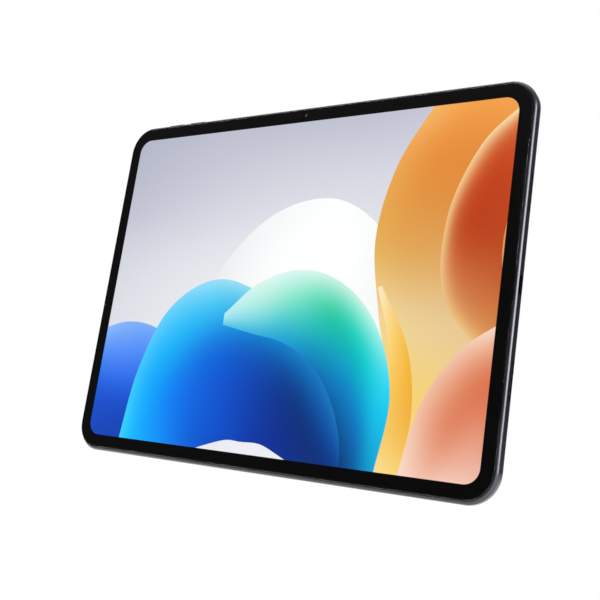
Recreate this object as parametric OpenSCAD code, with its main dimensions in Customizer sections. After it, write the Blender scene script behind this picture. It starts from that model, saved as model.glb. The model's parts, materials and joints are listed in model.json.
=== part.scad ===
/* [Body] */
// Width of the housing along its long side
body_w = 256.6; // [250:0.1:275]
// Height of the housing along its short side
body_h = 188; // [182:0.1:200]
// Thickness from the flat back to the front of the glass
body_t = 6.9; // [6.8:0.1:7.2]
// Radius of the housing's corners seen from the front
corner_r = 14.6; // [13:0.1:18]
// Radius that rounds the side into the back
back_edge_r = 3; // [2.5:0.1:3.2]
// Radius that rounds the side into the front
front_edge_r = 2.4; // [2:0.1:2.6]
// Thickness of the aluminium side wall
side_wall = 3; // [2.6:0.1:3.2]
// Thickness of the aluminium back wall
back_wall = 0.8; // [0.6:0.1:1]

/* [Display] */
// Width of the lit area
lit_w = 240; // [236:0.1:242]
// Height of the lit area
lit_h = 171.4; // [168:0.1:172]
// Radius of the lit area's corners
lit_corner_r = 7.4; // [4:0.1:9]
// Thickness of the cover glass
glass_t = 0.6; // [0.5:0.05:0.7]
// Width of the metal rim seen in front of the gasket
rim_w = 1.3; // [1.1:0.05:1.5]
// Width of the gasket between the rim and the glass
gasket_w = 0.4; // [0.3:0.05:0.5]
// Radius of the polished edge of the cover glass
glass_edge_r = 0.4; // [0.2:0.05:0.45]

/* [Buttons] */
// Length of one volume button
volume_len = 12; // [9:0.5:14]
// Length of the power button
power_len = 12; // [9:0.5:14]
// Height of every button across the side
button_h = 2; // [1.6:0.1:2.4]
// How far a button stands out of the side
button_out = 0.4; // [0.3:0.05:0.6]
// Distance from the middle to the first volume button
volume_a_x = -96; // [-100:0.5:-94]
// Distance from the middle to the second volume button
volume_b_x = -79.5; // [-82:0.5:-77]
// Height of the power button above the middle
power_y = 61; // [60:0.5:64]

/* [Right and left sides] */
// Distance from the middle to each speaker grille
speaker_y = 41; // [41:0.5:43]
// Number of slots in one speaker grille
grille_slots = 5; // [3:1:5]
// Height of the card tray above the middle
tray_y = 19.4; // [19:0.1:20]
// Length of the card tray's head along the side
tray_len = 13.4; // [13:0.1:13.6]

/* [Cameras] */
// Distance from the middle to the rear camera
camera_x = -108; // [-109:0.5:-107]
// Height of the rear camera above the middle
camera_y = 76; // [75:0.5:77]
// Outer radius of the rear camera's ring
camera_ring_r = 7.6; // [7:0.1:8]
// How far the rear camera's ring stands out of the back
camera_out = 0.9; // [0.7:0.05:1.1]
// Height of the front camera above the middle
front_camera_y = 89.3; // [89.2:0.05:89.4]

/* [Hidden] */
$fn = 64;
// How far a cutter passes a face, and how far shapes overlap where they join
cut = 1;
join = 0.1;
touch = 0.01;
// Heights of the stacked layers above the flat back
rim_drop = 0.3;
ledge_drop = 0.9;
lip_drop = 0.32;
rim_top = body_t - rim_drop;
ledge_z = body_t - ledge_drop;
lip_z = rim_top - lip_drop;
glass_z = body_t - glass_t;
ink_t = 0.08;
ink_z = glass_z - ink_t;
lcd_t = 0.62;
lcd_z = 5.54;
light_t = 0.92;
light_z = 4.58;
plate_t = 0.35;
plate_z = 4.2;
plate_sink = 0.23;
layer_gap = 0.02;
flex_t = 0.12;
floor_z = back_wall;
side_z = 3.5;
// Outlines of the stacked layers
glass_in = rim_w + gasket_w;
gasket_gap = 0.03;
gasket_drop = 0.25;
gasket_h = ledge_drop - glass_edge_r - gasket_drop;
ink_in = 0.1;
lcd_w = lit_w + 4;
lcd_h = lit_h + 3.8;
light_in = 0.4;
light_w = lcd_w - 2 * light_in;
light_h = lcd_h - 2 * light_in;
plate_w = 245.6;
plate_h = 178.6;
plate_corner_r = corner_r - 5;
tape_w = 1.1;
tape_t = 0.16;
tape_in = 1.9;
// Strip of driver circuits below the lit area
driver_w = 60;
driver_h = 1.5;
driver_t = 0.2;
driver_x = -63;
driver_drop = 0.9;
driver_r = 0.5;
// Windows and edge notches of the support plate: [along the edge, across it]
window_w = 60;
window_r = 6;
window_mid = 50;
camera_notch = [10, 8];
sensor_notch = [6, 4];
port_notch = [12, 10];
key_notch = [6, 3.4];
// Boards
board_t = 0.8;
board_z = 1.6;
board_w = 40;
board_h = 122;
board_x = -83;
board_y = 1;
board_top = board_z + board_t + touch;
flex_z = board_z + board_t + layer_gap;
graphite_in = 4.5;
graphite_t = 0.1;
port_board_x = 114.5;
port_board_w = 13;
port_board_h = 20;
port_board_y = -3.5;
port_screw_xy = [port_board_x - 3, port_board_y - 7];
// Chips from the middle of the main board: [x, y, width, height, thickness]
processor_chip = [0, 24, 14, 14, 1];
memory_package = [0, 40, 11.5, 13, 0.9];
power_package = [-4, -18, 8, 8, 0.8];
wireless_package = [6, -34, 7, 7, 0.8];
can_wall = 0.25;
can_roof = 0.2;
can_h = 1.45;
upper_can = [0, 31, 24, 38, can_h];
lower_can = [0, -26, 26, 32, can_h];
// Batteries
cell_w = 80;
cell_h = 124;
cell_t = 2.9;
cell_z = 0.95;
cell_gap = 2.4;
cell_corner_r = 2;
cell_mid_x = 21;
cell_dx = (cell_w + cell_gap) / 2;
seal_w = 2.5;
seal_t = 0.6;
seal_in = 0.25;
guard_z = 1.5;
guard_y = 67;
guard_w = 90;
guard_h = 4.6;
guard_t = 0.7;
pull_w = 12;
pull_t = 0.11;
pull_in = 5;
pull_dx = 24;
// Flexible circuits
lead_w = 3.2;
tail_w = 5;
battery_tail_w = 8;
battery_tail_h = 12.2;
display_tail_w = 18;
display_plug_w = 12;
display_plug_h = 2;
display_plug_y = -57;
sensor_lead_w = 3;
// Socket for the charging and data plug
port_w = 8.94;
port_h = 3.26;
port_wall = 0.3;
port_len = 6;
port_lip = 0.45;
port_fit = 0.06;
port_cut = 9;
port_hole_w = port_w + 2 * (port_wall + port_fit);
port_hole_h = port_h + 2 * (port_wall + port_fit);
tongue_w = 6.69;
tongue_t = 0.7;
tongue_len = 4.7;
tongue_base = 0.9;
tongue_gap = 0.05;
// Speakers
speaker_x = 115.2;
speaker_w = 14;
speaker_h = 24;
speaker_t = 3.1;
speaker_lift = 0.05;
speaker_r = 1.5;
cone_in = 2.5;
cone_r = 3;
cone_deep = 0.5;
duct_l = 2.6;
duct_h = 1.6;
duct_drop = 0.3;
slot_len = 2.6;
slot_h = 1.1;
slot_pitch = 3.7;
mesh_t = 0.15;
mesh_h = 1.8;
mesh_gap = 0.1;
grille_l = grille_slots * slot_pitch;
// Buttons
button_gap = 0.1;
flange_t = 0.6;
flange_out = 0.9;
flange_h = button_h + 0.4;
flange_gap = 0.05;
switch_gap = 0.5;
switch_t = 0.45;
switch_w = 3.2;
switch_h = 2.2;
switch_base = 0.27;
dome_r = 0.9;
key_board_t = 0.4;
key_board_h = 2.4;
volume_board_len = volume_b_x - volume_a_x + 6;
power_board_len = 8;
switch_back = side_wall + flange_gap + flange_t + switch_gap + switch_t;
// Card tray
tray_h = 2.3;
tray_body_w = 12.2;
tray_body_t = 1.1;
tray_deep = 18.4;
tray_fit = 0.08;
tray_head_t = 1.6;
tray_overlap = 0.2;
tray_reach = 4;
tray_z = 2.7;
pin_hole_r = 0.45;
pin_hole_in = 1.7;
pin_hole_deep = 5;
card_w = 11;
card_l = 15;
card_floor = 0.25;
card_rim = 0.8;
reader_l = 17;
reader_gap = 0.8;
reader_x = body_w / 2 - side_wall - reader_gap - reader_l / 2;
reader_wall = 0.3;
reader_roof = 0.25;
reader_back = 0.4;
reader_fit = 0.15;
reader_top = 0.2;
// Cameras
camera_hole_r = 5.6;
camera_lens_r = 4.4;
camera_view_r = 3.9;
camera_glass_t = 0.5;
camera_glass_fit = 0.03;
camera_step = 0.12;
ring_bevel = 0.35;
ring_seat = 0.25;
ring_fit = 0.05;
ring_neck = 0.4;
camera_can = 10;
camera_can_z = floor_z + 0.45;
camera_can_t = 2.8;
barrel_r = 3.1;
barrel_fit = 0.12;
barrel_z = 0.2;
barrel_h = 2.7;
focus_room = 0.5;
barrel_mouth_r = 1.6;
barrel_mouth_h = 0.6;
front_can = 5.4;
front_can_z = 1.6;
front_can_t = 2.5;
front_can_drop = 1.3;
front_barrel_r = 1.5;
front_hole_r = 0.95;
sensor_hole_r = 0.6;
sensor_x = 7;
sensor_w = 2;
sensor_h = 1.6;
sensor_z = 4.6;
sensor_t = 1.4;
// Fasteners
post_r = 1.7;
screw_r = 0.6;
screw_head_r = 1.25;
screw_head_t = 0.45;
screw_fit = 0.02;
screw_edge = 2.4;
screw_clear = 0.1;
screw_tip_z = floor_z + 0.35;
post_floor_z = floor_z + 0.3;
drive_w = 0.3;
drive_l = 1.5;
// Microphones
mic_r = 0.5;
mic_xs = [26, -58];
mic_w = 3.4;
mic_l = 1.8;
mic_h = 1.2;
mic_gap = 1.3;
// Antennas
fill_len = 74;
fill_w = 1.6;
fill_x = 62;
fill_y = 84.5;
antenna_w = 6;
antenna_t = 0.15;
coax_r = 0.4;
coax_l = 110;
coax_y = 80.7;
coax_x = board_x + 14;

post_xy = [
    for (x = [-118, -59.5, 0, 59.5, 118], y = [-78, 78])
        if (!(x == -118 && y > 0)) [x, y]
];
board_screw_xy = [
    for (i = [-1, 1], j = [-1, 1])
        [board_x + i * (board_w / 2 - screw_edge), board_y + j * (board_h / 2 - screw_edge)]
];
low_post_xy = concat(board_screw_xy, [port_screw_xy]);

// Stands the tablet up: the local front faces -Y, the local top points to +Z,
// and the origin comes to the middle of the bottom of the whole bounding box.
module upright() {
    translate([button_out / 2, (body_t - camera_out) / 2, body_h / 2])
        rotate([90, 0, 0])
            children();
}

module rounded_rect(w, h, r) {
    square([w - 2 * r, h], center = true);
    square([w, h - 2 * r], center = true);
    for (i = [-1, 1], j = [-1, 1])
        translate([i * (w / 2 - r), j * (h / 2 - r)])
            circle(r);
}

// A bar's outline with half-round ends.
module slot_outline(length, height) {
    square([length - height, height], center = true);
    for (i = [-1, 1])
        translate([i * (length - height) / 2, 0])
            circle(height / 2);
}

// A plate with the outline of the housing moved inwards by d.
module inset_plate(d, z, t) {
    translate([0, 0, z])
        linear_extrude(t)
            rounded_rect(body_w - 2 * d, body_h - 2 * d, corner_r - d);
}

module ring_plate(d, w, z, t) {
    difference() {
        inset_plate(d, z, t);
        inset_plate(d + w, z - cut, t + 2 * cut);
    }
}

module flat_plate(w, h, z, t, r = 1) {
    translate([0, 0, z])
        linear_extrude(t)
            rounded_rect(w, h, r);
}

module block(x, y, z, w, h, t) {
    translate([x - w / 2, y - h / 2, z])
        cube([w, h, t]);
}

// Cross-section of the side, from the corner's centre line out to the side's widest line.
module side_section() {
    translate([-corner_r, back_edge_r])
        square([corner_r, rim_top - front_edge_r - back_edge_r]);
    translate([-corner_r, 0])
        square([corner_r - back_edge_r, rim_top]);
    translate([-back_edge_r - join, back_edge_r])
        square([back_edge_r - front_edge_r + join, rim_top - back_edge_r]);
    translate([-back_edge_r, back_edge_r])
        circle(back_edge_r);
    translate([-front_edge_r, rim_top - front_edge_r])
        circle(front_edge_r);
}

// A rectangle with round corners whose edge has the section that is given as the child.
module swept_plate(w, h, r, t) {
    for (s = [0, 180])
        rotate([0, 0, s])
            translate([w / 2, 0, 0])
                rotate([90, 0, 0])
                    linear_extrude(h - 2 * r, center = true)
                        children();
    for (s = [90, 270])
        rotate([0, 0, s])
            translate([h / 2, 0, 0])
                rotate([90, 0, 0])
                    linear_extrude(w - 2 * r, center = true)
                        children();
    for (i = [-1, 1], j = [-1, 1])
        translate([i * (w / 2 - r), j * (h / 2 - r), 0])
            rotate_extrude()
                intersection() {
                    translate([r, 0])
                        children();
                    square([r, t]);
                }
    linear_extrude(t)
        square([w - 2 * r, h - 2 * r], center = true);
}

// The solid block that the housing is milled from.
module housing_block() {
    swept_plate(body_w, body_h, corner_r, rim_top)
        side_section();
}

// Cross-section of the glass edge, polished round on its front side only.
module glass_section() {
    deep = corner_r - glass_in;
    translate([-deep, 0])
        square([deep, glass_t - glass_edge_r]);
    translate([-deep, 0])
        square([deep - glass_edge_r, glass_t]);
    intersection() {
        translate([-glass_edge_r, glass_t - glass_edge_r])
            circle(glass_edge_r);
        translate([-glass_edge_r, 0])
            square([glass_edge_r, glass_t]);
    }
}

// A bar with round ends that runs out along +X; length is along Y, height along Z.
module slot_bar(length, height, deep) {
    rotate([90, 0, 90])
        linear_extrude(deep)
            slot_outline(length, height);
}

// Places something that is drawn looking out along +X on one of the sides.
module on_right(y) {
    translate([body_w / 2, y, side_z])
        children();
}

module on_left(y) {
    translate([-body_w / 2, y, side_z])
        rotate([0, 0, 180])
            children();
}

module on_top(x) {
    translate([x, body_h / 2, side_z])
        rotate([0, 0, 90])
            children();
}

module grille_cut() {
    for (k = [0 : grille_slots - 1])
        translate([-side_wall - cut, (k - (grille_slots - 1) / 2) * slot_pitch, 0])
            slot_bar(slot_len, slot_h, side_wall + 2 * cut);
}

module button_cut(length) {
    translate([-side_wall - cut, 0, 0])
        slot_bar(length + 2 * button_gap, button_h + 2 * button_gap, side_wall + 2 * cut);
}

module post(xy, z1) {
    translate([xy[0], xy[1], floor_z - join])
        cylinder(r = post_r, h = z1 - floor_z + join);
}

module post_hole(xy, z1) {
    translate([xy[0], xy[1], post_floor_z])
        cylinder(r = screw_r, h = z1);
}

module antenna_bar(side, w, z, t) {
    translate([side * fill_x, fill_y, z])
        linear_extrude(t)
            slot_outline(fill_len, w);
}

module rear_housing() {
    color("dimgray")
        upright()
            difference() {
                union() {
                    difference() {
                        housing_block();
                        inset_plate(side_wall, floor_z, body_t);
                        inset_plate(rim_w, ledge_z, body_t);
                        translate([0, 0, lip_z])
                            linear_extrude(body_t)
                                square([body_w + 2 * cut, body_h + 2 * cut], center = true);
                    }
                    for (p = post_xy)
                        post(p, plate_z);
                    for (p = low_post_xy)
                        post(p, board_z);
                }
                for (p = post_xy)
                    post_hole(p, plate_z);
                for (p = low_post_xy)
                    post_hole(p, board_z);
                for (s = [-1, 1]) {
                    on_right(s * speaker_y)
                        grille_cut();
                    on_left(s * speaker_y)
                        grille_cut();
                }
                for (x = [volume_a_x, volume_b_x])
                    on_top(x)
                        button_cut(volume_len);
                on_left(power_y)
                    button_cut(power_len);
                on_right(0)
                    translate([-side_wall - cut, 0, 0])
                        slot_bar(port_hole_w, port_hole_h, port_cut);
                on_right(tray_y)
                    tray_cut();
                for (x = mic_xs)
                    on_top(x)
                        translate([-side_wall - cut, 0, 0])
                            rotate([0, 90, 0])
                                cylinder(r = mic_r, h = side_wall + 2 * cut);
                camera_cut();
                for (s = [-1, 1])
                    antenna_bar(s, fill_w, -cut, floor_z + 2 * cut);
            }
}

// The hole through the back for the rear camera, with the round recess that its ring sits in.
module camera_cut() {
    translate([camera_x, camera_y, -cut]) {
        cylinder(r = camera_hole_r, h = floor_z + 2 * cut);
        cylinder(r = camera_ring_r + ring_fit, h = ring_seat + cut);
    }
}

module tray_cut() {
    translate([-tray_head_t, 0, 0])
        slot_bar(tray_len + 2 * tray_fit, tray_h + 2 * tray_fit, tray_reach);
    translate([-side_wall - cut, -tray_body_w / 2 - tray_fit, tray_z - side_z - tray_fit])
        cube([side_wall + 2 * cut, tray_body_w + 2 * tray_fit, tray_body_t + 2 * tray_fit]);
}

module cover_glass() {
    color([0.75, 0.82, 0.85, 0.35])
        upright()
            translate([0, 0, glass_z])
                swept_plate(body_w - 2 * glass_in, body_h - 2 * glass_in, corner_r - glass_in, glass_t)
                    glass_section();
}

module border_ink() {
    color("black")
        upright()
            difference() {
                inset_plate(glass_in + ink_in, ink_z, ink_t);
                flat_plate(lit_w, lit_h, ink_z - cut, 2 * cut, lit_corner_r);
                translate([0, front_camera_y, ink_z - cut])
                    cylinder(r = front_hole_r, h = 2 * cut);
                translate([sensor_x, front_camera_y, ink_z - cut])
                    cylinder(r = sensor_hole_r, h = 2 * cut);
            }
}

module glass_gasket() {
    color([0.05, 0.05, 0.06])
        upright()
            ring_plate(rim_w + gasket_gap, gasket_w - 2 * gasket_gap, ledge_z, gasket_h);
}

module display_tape() {
    color("darkslategray")
        upright()
            ring_plate(tape_in, tape_w, ledge_z + layer_gap, tape_t);
}

module display_panel() {
    color([0.25, 0.35, 0.55])
        upright()
            flat_plate(lcd_w, lcd_h, lcd_z, lcd_t, lit_corner_r);
}

module display_driver_strip() {
    color("goldenrod")
        upright()
            translate([driver_x, -lcd_h / 2 - driver_drop, 0])
                flat_plate(driver_w, driver_h, lcd_z, driver_t, driver_r);
}

module backlight() {
    color("white")
        upright()
            flat_plate(light_w, light_h, light_z, light_t, lit_corner_r);
}

// A notch in the support plate, from its edge inwards.
module plate_notch(x, y, w, h) {
    block(x, y, plate_z - cut, w, h, 2 * cut);
}

module support_plate() {
    color("silver")
        upright()
            difference() {
                flat_plate(plate_w, plate_h, plate_z, plate_t, plate_corner_r);
                for (p = post_xy)
                    translate([p[0], p[1], plate_z]) {
                        translate([0, 0, -cut])
                            cylinder(r = screw_r + screw_clear, h = 2 * cut);
                        translate([0, 0, plate_t - plate_sink])
                            cylinder(r = screw_head_r + screw_clear, h = cut);
                    }
                plate_notch(0, plate_h / 2, camera_notch[0], camera_notch[1]);
                plate_notch(sensor_x, plate_h / 2, sensor_notch[0], sensor_notch[1]);
                for (x = [volume_a_x, volume_b_x])
                    plate_notch(x, plate_h / 2, volume_len + key_notch[0], key_notch[1]);
                plate_notch(-plate_w / 2, power_y, key_notch[1], power_len + key_notch[0]);
                plate_notch(plate_w / 2, 0, port_notch[1], port_notch[0]);
                for (i = [-1, 1], j = [-1, 1])
                    translate([i * window_mid, j * window_mid, 0])
                        flat_plate(window_w, window_w, plate_z - cut, 2 * cut, window_r);
            }
}

module graphite_sheet() {
    color([0.2, 0.2, 0.22])
        upright()
            translate([board_x, board_y, floor_z + layer_gap])
                flat_plate(board_w - 2 * graphite_in, board_h - 2 * graphite_in, 0, graphite_t);
}

module screw_holes(points) {
    for (p = points)
        translate([p[0], p[1], board_z - cut])
            cylinder(r = screw_r + screw_clear, h = board_t + 2 * cut);
}

module main_board() {
    color("darkgreen")
        upright()
            difference() {
                block(board_x, board_y, board_z, board_w, board_h, board_t);
                screw_holes(board_screw_xy);
            }
}

module chip(c) {
    block(board_x + c[0], board_y + c[1], board_z + board_t, c[2], c[3], c[4]);
}

module processor() {
    color([0.12, 0.12, 0.13])
        upright()
            chip(processor_chip);
}

module memory_chip() {
    color([0.14, 0.14, 0.15])
        upright()
            chip(memory_package);
}

module power_chip() {
    color([0.16, 0.16, 0.17])
        upright()
            chip(power_package);
}

module wireless_chip() {
    color([0.13, 0.13, 0.14])
        upright()
            chip(wireless_package);
}

// A pressed cover: a shallow open box over the chips below it.
module shield_can(c) {
    difference() {
        chip(c);
        chip([c[0], c[1], c[2] - 2 * can_wall, c[3] - 2 * can_wall, can_h - can_roof]);
    }
}

module shield_can_upper() {
    color("lightgray")
        upright()
            shield_can(upper_can);
}

module shield_can_lower() {
    color("lightgray")
        upright()
            shield_can(lower_can);
}

// A screw with its head on z, its tip at the post's floor and a cross cut in its head.
module screw(xy, z, head_t = screw_head_t) {
    translate([xy[0], xy[1], z])
        difference() {
            cylinder(r = screw_head_r, h = head_t);
            translate([0, 0, head_t / 2])
                linear_extrude(cut) {
                    square([drive_l, drive_w], center = true);
                    square([drive_w, drive_l], center = true);
                }
        }
    translate([xy[0], xy[1], screw_tip_z])
        cylinder(r = screw_r - screw_fit, h = z - screw_tip_z + touch);
}

module board_screws() {
    color("gray")
        upright()
            for (p = board_screw_xy)
                screw(p, board_top);
}

module plate_screws() {
    color("gray")
        upright()
            for (p = post_xy)
                screw(p, plate_z + plate_t - plate_sink, plate_sink);
}

// A pouch cell with its folded seal along the upper edge.
module battery_cell(side) {
    x = cell_mid_x + side * cell_dx;
    seal_y = cell_h / 2 + seal_w / 2 - seal_in;
    translate([x, 0, 0])
        flat_plate(cell_w, cell_h, cell_z, cell_t, cell_corner_r);
    block(x, seal_y, cell_z + (cell_t - seal_t) / 2, cell_w - cell_t, seal_w, seal_t);
}

module battery_cell_left() {
    color([0.15, 0.15, 0.17])
        upright()
            battery_cell(-1);
}

module battery_cell_right() {
    color([0.15, 0.15, 0.17])
        upright()
            battery_cell(1);
}

module battery_guard_board() {
    color("seagreen")
        upright()
            block(cell_mid_x, guard_y, guard_z, guard_w, guard_h, guard_t);
}

module battery_tapes() {
    color("whitesmoke")
        upright()
            for (s = [-1, 1], k = [-1, 1])
                translate([cell_mid_x + s * cell_dx + k * pull_dx, 0, floor_z + layer_gap])
                    block(0, 0, 0, pull_w, cell_h - 2 * pull_in, pull_t);
}

// A strip of a flexible circuit between two opposite corners.
module flex_strip(x0, x1, y0, y1, z = flex_z, t = flex_t) {
    translate([x0, y0, z])
        cube([x1 - x0, y1 - y0, t]);
}

// From the guard board across to the main board, down its side and onto the board.
module battery_flex() {
    top_z = guard_z + guard_t + layer_gap;
    x0 = board_x + 6;
    x1 = cell_mid_x - 36;
    tail_x = board_x + 9;
    tail_y = guard_y + lead_w / 2;
    tail_t = flex_z + flex_t - top_z;
    color("darkorange")
        upright() {
            flex_strip(x0, x1, guard_y - lead_w / 2, tail_y, top_z);
            block(tail_x, guard_y, top_z, battery_tail_w, lead_w, tail_t);
            block(tail_x, tail_y - battery_tail_h / 2, flex_z, battery_tail_w, battery_tail_h, flex_t);
        }
}

// From the driver strip down the side, under the plate and up onto the main board.
module display_flex() {
    low_y = -body_h / 2 + side_wall + 0.6;
    low_z = plate_z - 0.2;
    plug_y0 = display_plug_y + display_plug_h / 2;
    color("darkorange")
        upright()
            translate([board_x, 0, 0]) {
                block(0, (low_y + plug_y0) / 2, low_z, display_tail_w, plug_y0 - low_y, flex_t);
                block(0, display_plug_y, flex_z, display_plug_w, display_plug_h, low_z + join / 2 - flex_z);
                block(0, low_y + flex_t / 2, low_z, display_tail_w, flex_t, lcd_z - low_z);
                block(0, low_y + 1, lcd_z - layer_gap - flex_t, display_tail_w, 2, flex_t);
            }
}

module port_board() {
    color("darkgreen")
        upright()
            difference() {
                block(port_board_x, port_board_y, board_z, port_board_w, port_board_h, board_t);
                screw_holes([port_screw_xy]);
            }
}

// From the socket's board down past the batteries, below them and up to the main board.
module port_flex() {
    run_y = -cell_h / 2 - 5;
    near_x = port_board_x - 9.3;
    far_x = board_x + 8;
    top_y = -3;
    left = far_x;
    right = near_x + lead_w / 2;
    color("darkorange")
        upright() {
            flex_strip(near_x - 1.6, near_x + 9.6, top_y - tail_w, top_y);
            flex_strip(near_x - lead_w / 2, right, run_y, top_y);
            flex_strip(left, right, run_y - lead_w / 2, run_y + lead_w / 2);
            flex_strip(left, left + lead_w, run_y - lead_w / 2, run_y + 9.5);
        }
}

module port_shell() {
    color("silver")
        upright()
            on_right(0)
                translate([-port_lip - port_len, 0, 0])
                    difference() {
                        slot_bar(port_w + 2 * port_wall, port_h + 2 * port_wall, port_len);
                        translate([port_wall, 0, 0])
                            slot_bar(port_w, port_h, port_len);
                    }
}

module port_tongue() {
    base_h = port_h - 2 * tongue_gap;
    color([0.1, 0.1, 0.1])
        upright()
            on_right(0)
                translate([-port_lip - port_len + port_wall, 0, 0]) {
                    block(tongue_base / 2, 0, -base_h / 2, tongue_base, port_w - port_h, base_h);
                    block(tongue_len / 2, 0, -tongue_t / 2, tongue_len, tongue_w, tongue_t);
                }
}

module port_screws() {
    color("gray")
        upright()
            screw(port_screw_xy, board_top);
}

// A closed box with a sunk diaphragm, and a duct that leads to the grille.
module speaker(sx, sy) {
    duct_x = speaker_x + speaker_w / 2 + cut;
    translate([sx * speaker_x, sy * speaker_y, floor_z + speaker_lift])
        difference() {
            flat_plate(speaker_w, speaker_h, 0, speaker_t, speaker_r);
            flat_plate(speaker_w - 2 * cone_in, speaker_h - 2 * cone_in, speaker_t - cone_deep, cut, cone_r);
        }
    translate([sx * duct_x, sy * speaker_y, side_z - duct_drop])
        cube([duct_l, grille_l, duct_h], center = true);
}

module speaker_left_upper() {
    color([0.1, 0.1, 0.11])
        upright()
            speaker(-1, 1);
}

module speaker_left_lower() {
    color([0.1, 0.1, 0.11])
        upright()
            speaker(-1, -1);
}

module speaker_right_upper() {
    color([0.1, 0.1, 0.11])
        upright()
            speaker(1, 1);
}

module speaker_right_lower() {
    color([0.1, 0.1, 0.11])
        upright()
            speaker(1, -1);
}

module speaker_meshes() {
    color([0.2, 0.2, 0.2])
        upright()
            for (i = [-1, 1], j = [-1, 1])
                translate([i * (body_w / 2 - side_wall - mesh_gap), j * speaker_y, side_z])
                    cube([mesh_t, grille_l, mesh_h], center = true);
}

// A key cap that stands out of the side, with a flange that keeps it behind the wall.
module button(length) {
    inner = side_wall + flange_gap;
    translate([-inner - touch, 0, 0])
        slot_bar(length, button_h, inner + button_out + touch);
    translate([-inner - flange_t, 0, 0])
        slot_bar(length + 2 * flange_out, flange_h, flange_t);
}

module volume_up_button() {
    color([0.28, 0.28, 0.3])
        upright()
            on_top(volume_a_x)
                button(volume_len);
}

module volume_down_button() {
    color([0.28, 0.28, 0.3])
        upright()
            on_top(volume_b_x)
                button(volume_len);
}

module power_button() {
    color([0.28, 0.28, 0.3])
        upright()
            on_left(power_y)
                button(power_len);
}

// A dome switch with its nub, just behind a button's flange.
module key_switch() {
    translate([-switch_back, 0, 0]) {
        translate([0, -switch_w / 2, -switch_h / 2])
            cube([switch_base, switch_w, switch_h]);
        rotate([0, 90, 0])
            cylinder(r = dome_r, h = switch_t);
    }
}

module key_board(length) {
    translate([-switch_back - key_board_t, -length / 2, -key_board_h / 2])
        cube([key_board_t, length, key_board_h]);
}

module volume_key_board() {
    color("darkgreen")
        upright()
            on_top((volume_a_x + volume_b_x) / 2)
                key_board(volume_board_len);
}

module volume_switches() {
    color("gainsboro")
        upright()
            for (x = [volume_a_x, volume_b_x])
                on_top(x)
                    key_switch();
}

module power_key_board() {
    color("darkgreen")
        upright()
            on_left(power_y)
                key_board(power_board_len);
}

module power_switch() {
    color("gainsboro")
        upright()
            on_left(power_y)
                key_switch();
}

// The head follows the curved side; the eject hole passes right through it.
module card_tray() {
    color([0.3, 0.3, 0.32])
        upright()
            difference() {
                union() {
                    intersection() {
                        housing_block();
                        on_right(tray_y)
                            translate([-tray_head_t + tray_fit, 0, 0])
                                slot_bar(tray_len, tray_h, tray_reach);
                    }
                    translate([body_w / 2 - tray_deep, tray_y - tray_body_w / 2, tray_z])
                        cube([tray_deep - tray_head_t + tray_overlap, tray_body_w, tray_body_t]);
                }
                translate([body_w / 2 - tray_deep + card_rim, tray_y - card_w / 2, tray_z + card_floor])
                    cube([card_l, card_w, tray_body_t]);
                translate([body_w / 2 - pin_hole_deep, tray_y - tray_len / 2 + pin_hole_in, side_z])
                    rotate([0, 90, 0])
                        cylinder(r = pin_hole_r, h = pin_hole_deep + cut);
            }
}

// The cage that the tray slides in, open at its outer end.
module card_reader() {
    inner_w = tray_body_w + 2 * reader_fit;
    inner_t = tray_body_t + 2 * reader_fit;
    inner_z = tray_z - reader_fit;
    color("silver")
        upright()
            difference() {
                block(reader_x, tray_y, inner_z - reader_roof, reader_l,
                    inner_w + 2 * reader_wall, inner_t + reader_roof + reader_top);
                block(reader_x + reader_back, tray_y, inner_z, reader_l, inner_w, inner_t);
            }
}

module microphones() {
    color([0.75, 0.7, 0.55])
        upright()
            for (x = mic_xs)
                translate([x, body_h / 2 - side_wall - mic_gap, side_z])
                    cube([mic_w, mic_l, mic_h], center = true);
}

// A turned ring that sits in the back's recess, with a neck through the hole and a seat for its glass.
module rear_camera_ring() {
    glass_seat = camera_step + camera_glass_t;
    color([0.22, 0.22, 0.24])
        upright()
            translate([camera_x, camera_y, -camera_out])
                difference() {
                    union() {
                        rotate_extrude()
                            polygon([
                                [0, 0],
                                [camera_ring_r - ring_bevel, 0],
                                [camera_ring_r, ring_bevel],
                                [camera_ring_r, camera_out + ring_seat],
                                [0, camera_out + ring_seat]
                            ]);
                        translate([0, 0, camera_out])
                            cylinder(r = camera_hole_r - ring_fit, h = floor_z + ring_neck);
                    }
                    translate([0, 0, -cut])
                        cylinder(r = camera_view_r, h = camera_out + floor_z + ring_neck + 2 * cut);
                    translate([0, 0, -cut])
                        cylinder(r = camera_lens_r, h = glass_seat + cut);
                }
}

module rear_camera_glass() {
    color([0.1, 0.12, 0.16, 0.5])
        upright()
            translate([camera_x, camera_y, -camera_out + camera_step])
                cylinder(r = camera_lens_r - camera_glass_fit, h = camera_glass_t);
}

module rear_camera_module() {
    color([0.2, 0.2, 0.2])
        upright()
            translate([camera_x, camera_y, 0])
                difference() {
                    block(0, 0, camera_can_z, camera_can, camera_can, camera_can_t);
                    cylinder(r = barrel_r + barrel_fit, h = barrel_z + barrel_h + focus_room);
                }
}

module rear_camera_barrel() {
    color([0.08, 0.08, 0.09])
        upright()
            translate([camera_x, camera_y, barrel_z])
                difference() {
                    cylinder(r = barrel_r, h = barrel_h);
                    translate([0, 0, -cut])
                        cylinder(r = barrel_mouth_r, h = barrel_mouth_h + cut);
                }
}

// Out of the camera's side and down onto the main board.
module rear_camera_flex() {
    x0 = camera_x + camera_can / 2;
    x1 = x0 + 10;
    tail_x = x1 - 4.5;
    top_y = camera_y + 0.5;
    low_y = camera_y - 23;
    upper_y = camera_y - 1;
    color("darkorange")
        upright() {
            flex_strip(x0, x1, top_y - tail_w, top_y);
            flex_strip(tail_x, tail_x + tail_w, low_y, upper_y);
        }
}

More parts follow.
